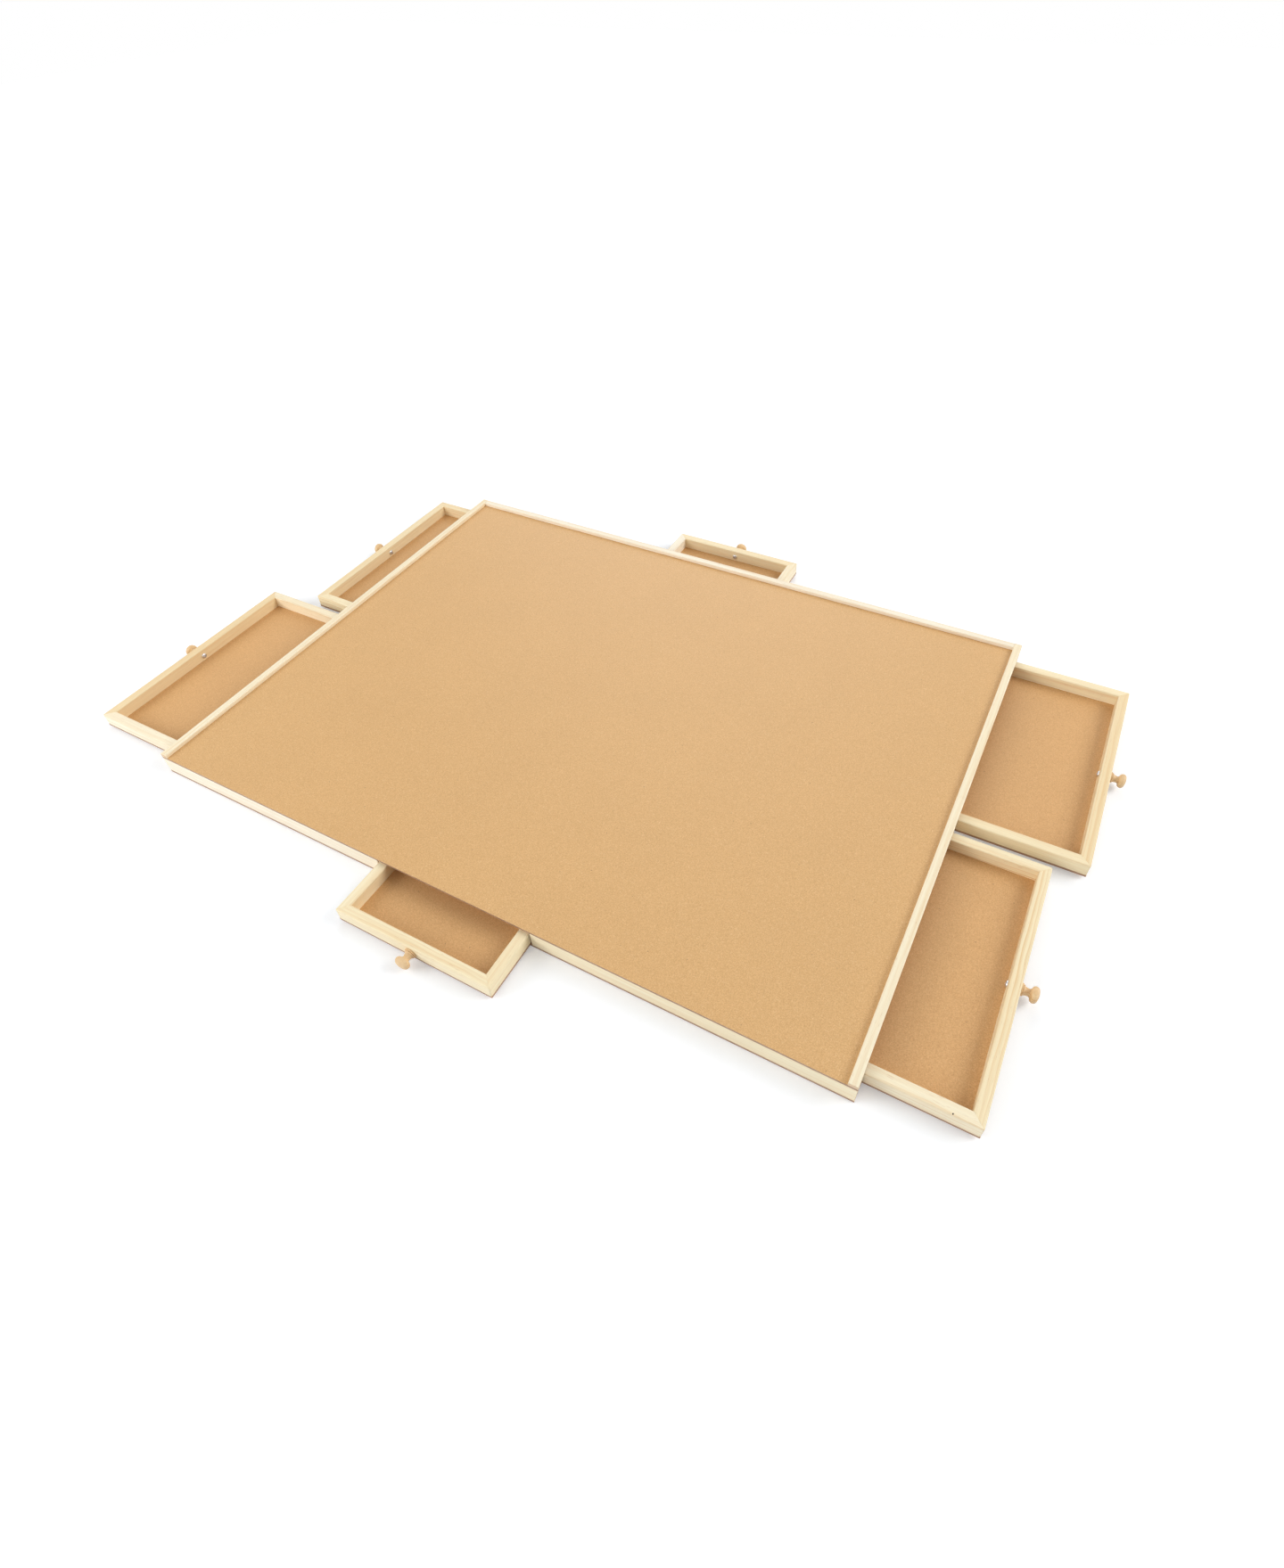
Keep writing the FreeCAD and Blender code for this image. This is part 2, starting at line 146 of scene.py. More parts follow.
# Each board that shows: (paleness, darkness of its rings, ring width, turn of the pith in degrees).
# Paleness runs from -1, tan, to 1, nearly white. A darkness above 1 widens the dark part of each ring.
# At 0 degrees the pith lies beyond the outer face, so rings cross the top as stripes, and at 90 it
# lies below, so they stripe the upright faces.
CUTS = {
    "left_lip": (0.35, 0.45, 3.4 * MM, 20),
    "right_lip": (0.35, 0.45, 3.8 * MM, 35),
    "back_lip": (0.85, 0.3, 3.2 * MM, 15),
    "front_rail_left": (0.8, 0.35, 3.6 * MM, 100),
    "front_rail_right": (0.1, 0.45, 3.4 * MM, 70),
    "left_front_drawer_face": (-0.75, 0.6, 2.8 * MM, 12),
    "left_front_drawer_near_side": (0.5, 0.4, 3.2 * MM, 60),
    "left_front_drawer_far_side": (0.35, 0.4, 3.4 * MM, 30),
    "left_back_drawer_face": (-0.45, 0.55, 3.0 * MM, 25),
    "left_back_drawer_near_side": (0.0, 1.7, 2.8 * MM, 84),
    "left_back_drawer_far_side": (-0.35, 0.5, 3.0 * MM, 40),
    "back_drawer_face": (-0.25, 0.55, 3.0 * MM, 35),
    "back_drawer_left_side": (0.9, 0.3, 3.6 * MM, 50),
    "back_drawer_right_side": (0.35, 0.4, 3.2 * MM, 75),
    "front_drawer_face": (-0.05, 0.6, 3.8 * MM, 8),
    "front_drawer_left_side": (0.05, 0.6, 4.6 * MM, 5),
    "front_drawer_right_side": (-0.2, 0.5, 3.8 * MM, 25),
    "right_front_drawer_face": (-0.1, 0.9, 4.4 * MM, 10),
    "right_front_drawer_near_side": (0.3, 0.45, 3.4 * MM, 65),
    "right_front_drawer_far_side": (-0.2, 1.8, 3.4 * MM, 78),
    "right_back_drawer_face": (-0.5, 0.75, 4.0 * MM, 6),
    "right_back_drawer_near_side": (-0.3, 0.9, 3.0 * MM, 70),
    "right_back_drawer_far_side": (0.0, 0.7, 4.4 * MM, 80),
}

# The ranges of the same four values for every other board, and of a knob's, with ring widths in mm
OTHER_CUTS = ((-0.4, 0.4), (0.3, 0.6), (2.8, 4.4), (0, 90))
KNOB_LEVELS = (0.95, 1.0)  # how light a knob is
KNOB_RING_WIDTHS = (1.6, 2.4)
KNOB_RING_DEPTHS = (0.5, 0.8)

PITH_DISTANCES = (32, 60)  # mm from the pith to a board's lowest outer edge, or to a knob's axis
TRUNK_LENGTH = 40  # metres of trunk from which the boards are cut


# ---------------------------------------------------------------- colours


def srgb(red, green, blue):
    """A colour given as 0 to 255, as the linear numbers that shaders use."""
    shares = (red / 255, green / 255, blue / 255)
    return tuple(c / 12.92 if c <= 0.04045 else ((c + 0.055) / 1.055) ** 2.4 for c in shares)


PALE_WOOD = srgb(253, 245, 226)
PINE_EARLY = srgb(251, 238, 202)  # the pale part of a ring
PINE_LATE = srgb(228, 186, 123)  # its dark part
PINE_RESIN = srgb(190, 130, 78)
KNOB_EARLY = srgb(241, 208, 160)
KNOB_LATE = srgb(198, 143, 88)
KNOB_RESIN = srgb(160, 102, 58)

BOARD_DARK = srgb(201, 155, 99)
BOARD_LIGHT = srgb(228, 186, 130)
BOARD_FIBRE_DARK = srgb(173, 125, 75)
BOARD_FIBRE_LIGHT = srgb(242, 213, 166)
BOARD_SPECK = srgb(120, 82, 50)
BOARD_EDGE_DARK = srgb(142, 109, 86)
BOARD_EDGE_LIGHT = srgb(192, 158, 131)

ZINC_DARK = srgb(196, 198, 203)
ZINC_LIGHT = srgb(226, 227, 230)

DRAWER_FLOOR_TONE_AND_SHADE = (0.97, 0.92, 0.89)  # a little redder than the work surface, and darker as painted shade of the drawer's recess
BRAD_TINT = (0.09, 0.075, 0.06)  # nearly black


# ---------------------------------------------------------------- node trees

MIX_SHARE, MIX_FIRST, MIX_SECOND, MIX_RESULT = 0, 6, 7, 2  # a mix node's sockets for colours


class Tree:
    """A node tree, filled by short calls. An input is a socket of another node or a plain value."""

    def __init__(self, owner):
        owner.use_nodes = True
        self.nodes = owner.node_tree.nodes
        self.links = owner.node_tree.links
        self.nodes.clear()

    def add(self, kind, inputs=None, **settings):
        node = self.nodes.new(kind)
        for name, value in settings.items():
            setattr(node, name, value)
        for name, value in (inputs or {}).items():
            self.feed(node.inputs[name], value)
        return node

    def feed(self, socket, value):
        if isinstance(value, bpy.types.NodeSocket):
            self.links.new(value, socket)
        elif isinstance(value, tuple) and len(value) == 3 and socket.type == "RGBA":
            socket.default_value = (*value, 1.0)
        else:
            socket.default_value = value

    def mesh_value(self, name, output):
        return self.add("ShaderNodeAttribute", attribute_name=name).outputs[output]

    def piece_value(self, name, output):
        node = self.add("ShaderNodeAttribute", attribute_name=name, attribute_type="OBJECT")
        return node.outputs[output]

    def math(self, operation, first, second=0.0, third=0.0):
        inputs = {0: first, 1: second, 2: third}
        return self.add("ShaderNodeMath", inputs, operation=operation).outputs[0]

    def vector(self, operation, first, second):
        inputs = {0: first, 1: second}
        return self.add("ShaderNodeVectorMath", inputs, operation=operation).outputs[0]

    def length(self, vector):
        return self.add("ShaderNodeVectorMath", {0: vector}, operation="LENGTH").outputs["Value"]

    def noise(self, place, cells, detail, roughness, output="Fac"):
        """Noise with so many cells per metre along each axis."""
        scaled = self.vector("MULTIPLY", place, cells)
        inputs = {"Vector": scaled, "Scale": 1.0, "Detail": detail, "Roughness": roughness}
        return self.add("ShaderNodeTexNoise", inputs).outputs[output]

    def noise_along(self, value):
        """Smooth noise in one dimension, with one cell for each step of 1."""
        inputs = {"W": value, "Scale": 1.0, "Detail": 1.0}
        return self.add("ShaderNodeTexNoise", inputs, noise_dimensions="1D").outputs["Fac"]

    def random(self, value):
        """A number from 0 to 1 that stays the same for the same value."""
        node = self.add("ShaderNodeTexWhiteNoise", {"W": value}, noise_dimensions="1D")
        return node.outputs["Value"]

    def ramp(self, value, stops):
        node = self.add("ShaderNodeValToRGB", {"Fac": value})
        band = node.color_ramp
        while len(band.elements) < len(stops):
            band.elements.new(0.5)
        for element, (position, level) in zip(band.elements, stops):
            element.position = position
            element.color = (level, level, level, 1.0)
        return node.outputs["Color"]

    def spread(self, value, low, high, new_low=0.0, new_high=1.0):
        """The value, moved from one range to another and kept inside it."""
        inputs = {"Value": value, 1: low, 2: high, 3: new_low, 4: new_high}
        return self.add("ShaderNodeMapRange", inputs).outputs["Result"]

    def mix(self, share, first, second, blend_type="MIX"):
        node = self.add("ShaderNodeMix", data_type="RGBA", blend_type=blend_type)
        self.feed(node.inputs[MIX_SHARE], share)
        self.feed(node.inputs[MIX_FIRST], first)
        self.feed(node.inputs[MIX_SECOND], second)
        return node.outputs[MIX_RESULT]

    def shaded(self, colour, shade):
        return self.mix(1.0, colour, shade, "MULTIPLY")

    def tinted(self, colour):
        return self.shaded(colour, self.piece_value("tint", "Color"))

    def bump(self, height, distance, strength):
        inputs = {"Height": height, "Distance": distance, "Strength": strength}
        return self.add("ShaderNodeBump", inputs).outputs["Normal"]

    def surface(self, shader):
        self.add("ShaderNodeOutputMaterial", {"Surface": shader})

    def principled(self, **inputs):
        """The finished surface. Base_Color and the like stand for the sockets' names."""
        sockets = {name.replace("_", " "): value for name, value in inputs.items()}
        self.surface(self.add("ShaderNodeBsdfPrincipled", sockets).outputs[0])


def new_material(name):
    material = bpy.data.materials.new(name)
    return material, Tree(material)


# ---------------------------------------------------------------- materials

# Ranges of a noise: nearly all of it, most of it, and the rare peaks and hollows at its two ends
WIDE = (0.2, 0.8)
MOST = (0.3, 0.7)
PEAKS = (0.68, 0.78)
HOLLOWS = (0.34, 0.26)

# Noises in wood: (cells per metre along the grain and the two ways across it, detail, roughness)
WANDER = ((7, 30, 30), 3.0, 0.55)
FADING = ((5, 45, 45), 2.0, 0.5)
FIBRE = ((35, 1500, 1500), 3.0, 0.6)
STREAK = ((7, 240, 240), 2.0, 0.5)
FLECK = ((110, 1250, 1250), 1.0, 0.4)

WANDER_REACH = (0.0, 0.009, 0.009)  # metres by which the noise moves the rings
WIDTH_CHANGES = 0.6  # cells of noise per ring
UNEVENNESS = 1.1  # rings by which that noise shifts the count
# From the inner to the outer side of one ring: (share of its width, darkness)
RING_PROFILE = ((0.0, 0.0), (0.4, 0.1), (0.78, 0.75), (0.9, 1.0), (1.0, 0.0))
FAINTEST_RING = 0.15  # the darkness that is left of the faintest ring
FAINTEST_PLACE = 0.3  # and of any ring where it fades
STREAK_STRENGTH = 0.25
FLECK_STRENGTH = 0.3
OUTER_FACE_PAINTED_LIGHT = 0.15  # painted light: the outer face of a board is painted this much paler than its others
END_DARKNESS = 0.45  # end grain goes this far towards the colour of resin
WOOD_RELIEF = 0.06 * MM


def ring_darkness(tree, place):
    """How dark the growth rings make a place, from 0 to 1. The rings lie round the pith, wander along
    the trunk, differ in width and darkness, and fade here and there."""
    wander = tree.noise(place, *WANDER, output="Color")
    wander = tree.vector("SUBTRACT", wander, (0.5, 0.5, 0.5))
    wander = tree.vector("MULTIPLY", wander, WANDER_REACH)
    moved = tree.vector("ADD", place, wander)
    radius = tree.length(tree.vector("MULTIPLY", moved, (0.0, 1.0, 1.0)))
    count = tree.math("DIVIDE", radius, tree.piece_value("ring_width", "Fac"))
    uneven = tree.noise_along(tree.math("MULTIPLY", count, WIDTH_CHANGES))
    count = tree.math("ADD", count, tree.math("MULTIPLY", uneven, UNEVENNESS))
    ring = tree.ramp(tree.math("FRACT", count), RING_PROFILE)
    each = tree.random(tree.math("FLOOR", count))
    ring = tree.math("MULTIPLY", ring, tree.spread(each, 0, 1, FAINTEST_RING, 1.0))
    fading = tree.noise(place, *FADING)
    return tree.math("MULTIPLY", ring, tree.spread(fading, 0.38, 0.62, FAINTEST_PLACE, 1.0))


def wood_material(name, early, late, resin, roughness):
    """Softwood. A mesh's "wood" values say where each point was in the trunk: x along it, and the pith
    at y = z = 0. Its "end_grain" and "outer_face" values mark faces, and the outer face is painted
    paler as painted light. A piece's own values give its paleness, its rings' width and depth, and its
    tint."""
    material, tree = new_material(name)
    place = tree.mesh_value("wood", "Vector")
    ring = ring_darkness(tree, place)
    fibre = tree.noise(place, *FIBRE)
    streak = tree.noise(place, *STREAK)
    fleck = tree.noise(place, *FLECK)

    # Painted light: the outer face is drawn paler than the board's other faces.
    outer = tree.math("MULTIPLY", tree.mesh_value("outer_face", "Fac"), OUTER_FACE_PAINTED_LIGHT)
    paleness_and_face_light = tree.math("ADD", tree.piece_value("paleness", "Fac"), outer)
    base = tree.mix(tree.spread(paleness_and_face_light, 0.0, 1.0), early, PALE_WOOD)
    base = tree.mix(tree.spread(paleness_and_face_light, 0.0, -1.0, 0.0, 0.5), base, late)
    depth = tree.math("MULTIPLY", ring, tree.piece_value("ring_depth", "Fac"))
    colour = tree.mix(depth, base, late)
    colour = tree.mix(tree.spread(streak, 0.35, 0.75, 0.0, STREAK_STRENGTH), colour, late)
    colour = tree.mix(tree.spread(fleck, *PEAKS, 0.0, FLECK_STRENGTH), colour, resin)
    colour = tree.shaded(colour, tree.spread(fibre, 0.25, 0.75, 0.93, 1.03))
    end = tree.math("MULTIPLY", tree.mesh_value("end_grain", "Fac"), END_DARKNESS)
    colour = tree.mix(end, colour, resin)

    height = tree.math("MULTIPLY_ADD", ring, 0.5, fibre)
    tree.principled(
        Base_Color=tree.tinted(colour),
        Roughness=tree.spread(fibre, *WIDE, roughness - 0.06, roughness + 0.08),
        Specular_IOR_Level=0.35,
        Normal=tree.bump(height, WOOD_RELIEF, 0.5),
    )
    return material


# Noises in hardboard: (cells per metre along X, Y and Z, detail, roughness)
GRIT = ((900, 900, 900), 3.0, 0.65)
FIBRE_X = ((260, 1300, 1300), 1.0, 0.5)
FIBRE_Y = ((1300, 260, 1300), 1.0, 0.5)
CLOUD = ((11, 11, 11), 3.0, 0.55)
PATCH = ((70, 70, 70), 2.0, 0.5)
LAYERS = ((90, 90, 2600), 2.0, 0.6)

SPECK_CELLS = (55, 55, 55)  # dark specks per metre
SPECK_RADII = (0.02, 0.05)  # as shares of their distance: where one is darkest and where it ends
SPECK_STRENGTH = 0.5
FIBRE_STRENGTH = 0.35
HARDBOARD_RELIEF = 0.05 * MM


def sawn_edge(tree, colour, coordinates):
    """The colour, with the darker pressed layers on the faces that stand upright."""
    layers = tree.noise(coordinates["Object"], *LAYERS)
    edge_colour = tree.mix(tree.spread(layers, *MOST), BOARD_EDGE_DARK, BOARD_EDGE_LIGHT)
    normal = tree.add("ShaderNodeSeparateXYZ", {0: coordinates["Normal"]}).outputs["Z"]
    upright = tree.spread(tree.math("ABSOLUTE", normal), *MOST, 1.0, 0.0)
    return tree.mix(upright, colour, edge_colour)


def hardboard_material():
    """Pressed wood fibre: smooth and matt, with fine speckles, a few short fibres and soft clouds."""
    material, tree = new_material("hardboard")
    coordinates = tree.add("ShaderNodeTexCoord").outputs
    place = coordinates["Object"]
    grit = tree.noise(place, *GRIT)
    fibre_x = tree.noise(place, *FIBRE_X)
    fibre_y = tree.noise(place, *FIBRE_Y)
    cloud = tree.noise(place, *CLOUD)
    patch = tree.noise(place, *PATCH)
    cell_place = tree.vector("MULTIPLY", place, SPECK_CELLS)
    cell = tree.add("ShaderNodeTexVoronoi", {"Vector": cell_place, "Scale": 1.0})

    colour = tree.mix(tree.spread(grit, *MOST), BOARD_DARK, BOARD_LIGHT)
    highest = tree.math("MAXIMUM", fibre_x, fibre_y)
    dark_fibre = tree.spread(highest, *PEAKS, 0.0, FIBRE_STRENGTH)
    colour = tree.mix(dark_fibre, colour, BOARD_FIBRE_DARK)
    lowest = tree.math("MINIMUM", fibre_x, fibre_y)
    light_fibre = tree.spread(lowest, *HOLLOWS, 0.0, FIBRE_STRENGTH)
    colour = tree.mix(light_fibre, colour, BOARD_FIBRE_LIGHT)
    speck = tree.spread(cell.outputs["Distance"], *SPECK_RADII, SPECK_STRENGTH, 0.0)
    colour = tree.mix(speck, colour, BOARD_SPECK)
    clouds = tree.spread(cloud, *MOST, 0.985, 1.015)
    patches = tree.spread(patch, *MOST, 0.99, 1.01)
    colour = tree.shaded(colour, tree.math("MULTIPLY", clouds, patches))
    colour = sawn_edge(tree, colour, coordinates)

    height = tree.math("ADD", grit, dark_fibre)
    tree.principled(
        Base_Color=tree.tinted(colour),
        Roughness=tree.spread(grit, *WIDE, 0.44, 0.58),
        Specular_IOR_Level=0.5,
        Normal=tree.bump(height, HARDBOARD_RELIEF, 0.4),
    )
    return material


STEEL_SPECKS = ((1800, 1800, 1800), 2.0, 0.6)  # as the noises in hardboard


def steel_material():
    """Zinc-plated steel, a little lighter and darker in fine specks."""
    material, tree = new_material("steel")
    place = tree.add("ShaderNodeTexCoord").outputs["Object"]
    speck = tree.noise(place, *STEEL_SPECKS)
    colour = tree.mix(tree.spread(speck, *MOST), ZINC_DARK, ZINC_LIGHT)
    roughness = tree.spread(speck, *WIDE, 0.24, 0.42)
    tree.principled(Base_Color=tree.tinted(colour), Metallic=1.0, Roughness=roughness)
    return material


MATERIALS = {
    "pine": wood_material("pine", PINE_EARLY, PINE_LATE, PINE_RESIN, 0.52),
    "knob_wood": wood_material("knob_wood", KNOB_EARLY, KNOB_LATE, KNOB_RESIN, 0.42),
    "hardboard": hardboard_material(),
    "steel": steel_material(),
}


# ---------------------------------------------------------------- pieces and meshes


def finish_piece(name, mesh, node, slot, tint=WHITE):
    """A new piece that rides with a CAD node and wears its slot's material."""
    piece = bpy.data.objects.new(name, mesh)
    bpy.context.scene.collection.objects.link(piece)
    mesh.materials.append(MATERIALS[slot])
    piece["tint"] = tint
    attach(piece, frame["nodes"][node]["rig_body"])
    return piece


def place_in_trunk(piece, chance, points, angle):
    """Give every point of a wooden piece its place in the trunk. points are along and across the grain."""
    distance = chance.uniform(*PITH_DISTANCES) * MM
    along = chance.uniform(0, TRUNK_LENGTH)
    offset = Vector((along, distance * math.cos(angle), distance * math.sin(angle)))
    values = piece.data.attributes.new("wood", "FLOAT_VECTOR", "POINT")
    values.data.foreach_set("vector", [c for point in points for c in Vector(point) + offset])


def bridge(build, row, following):
    """The faces between two closed rows of points. A row of one point is a tip."""
    faces = []
    steps = max(len(row), len(following))
    for step in range(steps):
        after = (step + 1) % steps
        corners = [row[step % len(row)], row[after % len(row)]]
        corners += [following[after % len(following)], following[step % len(following)]]
        faces.append(build.faces.new(list(dict.fromkeys(corners))))
    return faces


def closed_mesh(name, build):
    """The mesh of a finished closed form, with its faces turned outwards."""
    bmesh.ops.recalc_face_normals(build, faces=build.faces)
    mesh = bpy.data.meshes.new(name)
    build.to_mesh(mesh)
    build.free()
    return mesh


def smooth(mesh, crease):
    mesh.shade_smooth()
    mesh.set_sharp_from_angle(angle=math.radians(crease))


def weigh_normals(piece):
    """Shade the large flat faces flat, and only the eased edges round."""
    modifier = piece.modifiers.new("even_shading", "WEIGHTED_NORMAL")
    modifier.keep_sharp = True


# ---------------------------------------------------------------- boards and panels


def round_inset(distance, radius):
    """How far a quarter-round edge lies inside its face, this far from the end."""
    if distance >= radius:
        return 0.0
    return radius - math.sqrt(radius**2 - (radius - distance) ** 2)


def mitred_inset(distance, radius):
    """The same for the outer face of a mitred board, whose upright corner is shared with the next."""
    if distance >= radius:
        return 0.0
    return radius - (distance + math.sqrt(2 * radius**2 - distance**2)) / 2


def rounded_section(v_range, w_range, radii):
    """A rectangle across the grain with rounded corners, from the lowest v and w, anticlockwise."""
    (v0, v1), (w0, w1) = v_range, w_range
    corners = ((v0, w0, 1, 1, 180), (v1, w0, -1, 1, 270), (v1, w1, -1, -1, 0), (v0, w1, 1, -1, 90))
    points = []
    for (v, w, v_in, w_in, start), radius in zip(corners, radii):
        for step in range(ARRIS_STEPS + 1):
            angle = math.radians(start + 90 * step / ARRIS_STEPS)
            centre = (v + v_in * radius, w + w_in * radius)
            points.append((centre[0] + radius * math.cos(angle), centre[1] + radius * math.sin(angle)))
    return points


class Board:
    """A straight board that fills a CAD node's box. u runs along the grain from its lowest end, v from
    the outer face inwards and w upwards. outer is the sign of the way in which the outer face looks."""

    def __init__(self, node, outer):
        self.low, self.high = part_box(node)
        extent = self.high - self.low
        self.along = 0 if extent.x > extent.y else 1
        self.across = 1 - self.along
        self.outer = outer
        self.length = extent[self.along]
        self.thickness = extent[self.across]
        self.height = extent.z

    def to_frame(self, u, v, w):
        point = Vector((0.0, 0.0, self.low.z + w))
        point[self.along] = self.low[self.along] + u
        outer_face = self.high[self.across] if self.outer > 0 else self.low[self.across]
        point[self.across] = outer_face - self.outer * v
        return point

    def ring(self, mark, ease, arris, mitred):
        """The ring of (u, v, w) points that starts this far from the end. On a mitre it slopes with v."""
        level = round_inset(mark, ease)
        outer = mitred_inset(mark, CORNER_ROUND) if mitred else level
        inner = 0.0 if mitred else level
        v_range = (outer, self.thickness - inner)
        w_range = (level, self.height - level)
        section = rounded_section(v_range, w_range, (EDGE_EASE, EDGE_EASE, arris, arris))
        return [(mark + (v if mitred else 0.0), v, w) for v, w in section]

    def rings(self, arris, mitred):
        """All rings, from one end to the other. An end's eased edge and the upright corner of a mitre
        each add their own."""
        ease = MITRE_GROOVE if mitred else EDGE_EASE
        reach = CORNER_ROUND if mitred else EDGE_EASE
        marks = {0.0}
        marks.update(ease * step / END_STEPS for step in range(1, END_STEPS + 1))
        marks.update(reach * step / CORNER_STEPS for step in range(1, CORNER_STEPS + 1))
        near = [self.ring(mark, ease, arris, mitred) for mark in sorted(marks)]
        far = [[(self.length - u, v, w) for u, v, w in ring] for ring in reversed(near)]
        return near + far

    def mesh(self, name, rings):
        """The board's mesh. Its ends and its outer face are marked for the wood: the end grain, and the
        painted light of the outer face.
        """
        build = bmesh.new()
        end_grain = build.faces.layers.float.new("end_grain")
        outer_face = build.faces.layers.float.new("outer_face")
        rows = [[build.verts.new(self.to_frame(*point)) for point in ring] for ring in rings]
        for row in (rows[0], rows[-1]):
            build.faces.new(row)[end_grain] = 1.0
        for row, following in zip(rows, rows[1:]):
            # The last face of a band closes it on the outside of the board.
            bridge(build, row, following)[-1][outer_face] = 1.0
        return closed_mesh(name, build)


def other_cut(node):
    """How a board that CUTS doesn't list was cut, by chance."""
    chance = random.Random(f"{node} cut")
    paleness, ring_depth, ring_width, turn = (chance.uniform(*span) for span in OTHER_CUTS)
    return paleness, ring_depth, ring_width * MM, turn


def pine_board(node, arris=EDGE_EASE, mitred=False, outer=-1):
    """A pine board, eased all round and with this radius on its upper edges."""
    name = f"{node}_board"
    board = Board(node, outer)
    rings = board.rings(arris, mitred)
    mesh = board.mesh(name, rings)
    smooth(mesh, BOARD_CREASE)
    piece = finish_piece(name, mesh, node, "pine")
    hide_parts(node)
    weigh_normals(piece)
    cut = CUTS.get(node) or other_cut(node)
    piece["paleness"], piece["ring_depth"], piece["ring_width"], turn = cut
    points = [point for ring in rings for point in ring]
    place_in_trunk(piece, random.Random(name), points, math.radians(turn))


def panel(node, tint=WHITE):
    """A hardboard panel with slightly softened edges."""
    name = f"{node}_sheet"
    low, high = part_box(node)
    build = bmesh.new()
    bmesh.ops.create_cube(build, size=1.0)
    bmesh.ops.scale(build, vec=high - low, verts=build.verts)
    bmesh.ops.translate(build, vec=(low + high) / 2, verts=build.verts)
    edges = build.edges[:]
    bmesh.ops.bevel(
        build, geom=edges, offset=PANEL_EASE, segments=PANEL_STEPS, profile=0.5, affect="EDGES"
    )
    mesh = closed_mesh(name, build)
    smooth(mesh, BOARD_CREASE)
    piece = finish_piece(name, mesh, node, "hardboard", tint)
    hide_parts(node)
    weigh_normals(piece)


# ---------------------------------------------------------------- turned pieces


def arc_over(start, through, end, steps):
    """Points of the arc from start to end over a middle point, without its last point."""
    (ax, ay), (bx, by), (cx, cy) = start, through, end
    doubled = 2 * (ax * (by - cy) + bx * (cy - ay) + cx * (ay - by))
    a2, b2, c2 = ax**2 + ay**2, bx**2 + by**2, cx**2 + cy**2
    ox = (a2 * (by - cy) + b2 * (cy - ay) + c2 * (ay - by)) / doubled
    oy = (a2 * (cx - bx) + b2 * (ax - cx) + c2 * (bx - ax)) / doubled
    radius = math.hypot(ax - ox, ay - oy)
    first, middle, last = (math.atan2(y - oy, x - ox) for x, y in (start, through, end))
    turn = (last - first) % math.tau
    if (middle - first) % math.tau > turn:
        turn -= math.tau
    angles = [first + turn * step / steps for step in range(steps)]
    return [(ox + radius * math.cos(angle), oy + radius * math.sin(angle)) for angle in angles]


def turned_mesh(name, profile):
    """A solid turned about the X axis from (x, radius) points that start and end on the axis."""
    build = bmesh.new()
    angles = [math.tau * step / TURNED_STEPS for step in range(TURNED_STEPS)]
    rows = []
    for x, radius in profile:
        if radius < AXIS_RADIUS:
            rows.append([build.verts.new((x, 0, 0))])
        else:
            around = [(x, radius * math.cos(angle), radius * math.sin(angle)) for angle in angles]
            rows.append([build.verts.new(point) for point in around])
    for row, following in zip(rows, rows[1:]):
        bridge(build, row, following)
    return closed_mesh(name, build)


def outward(drawer):
    """The unit vector in which a drawer pulls out, and the middle of its knob's foot."""
    low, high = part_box(f"{drawer}_knob")
    face_low, face_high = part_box(f"{drawer}_face")
    middle = (low + high) / 2
    way = middle - (face_low + face_high) / 2
    axis = 0 if abs(way.x) > abs(way.y) else 1
    direction = Vector((0.0, 0.0, 0.0))
    direction[axis] = math.copysign(1.0, way[axis])
    foot = middle.copy()
    foot[axis] = low[axis] if direction[axis] > 0 else high[axis]
    return direction, foot


def turned_to(direction, foot):
    """The matrix that stands a piece turned about X on this point, so that it points this way."""
    rotation = Vector((1.0, 0.0, 0.0)).rotation_difference(direction).to_matrix().to_4x4()
    return Matrix.Translation(foot) @ rotation


def flange_profile():
    """The flat disc at a knob's foot, with two eased edges."""
    radius, height, ease = FLANGE_RADIUS, FLANGE_THICKNESS, FLANGE_EASE
    corner = ease * (1 - math.sqrt(0.5))
    points = [(0.0, 0.0)]
    points += arc_over((0.0, radius - ease), (corner, radius - corner), (ease, radius), FLANGE_STEPS)
    end = (height, radius - ease)
    second_corner = (height - corner, radius - corner)
    points += arc_over((height - ease, radius), second_corner, end, FLANGE_STEPS)
    points.append(end)
    return points


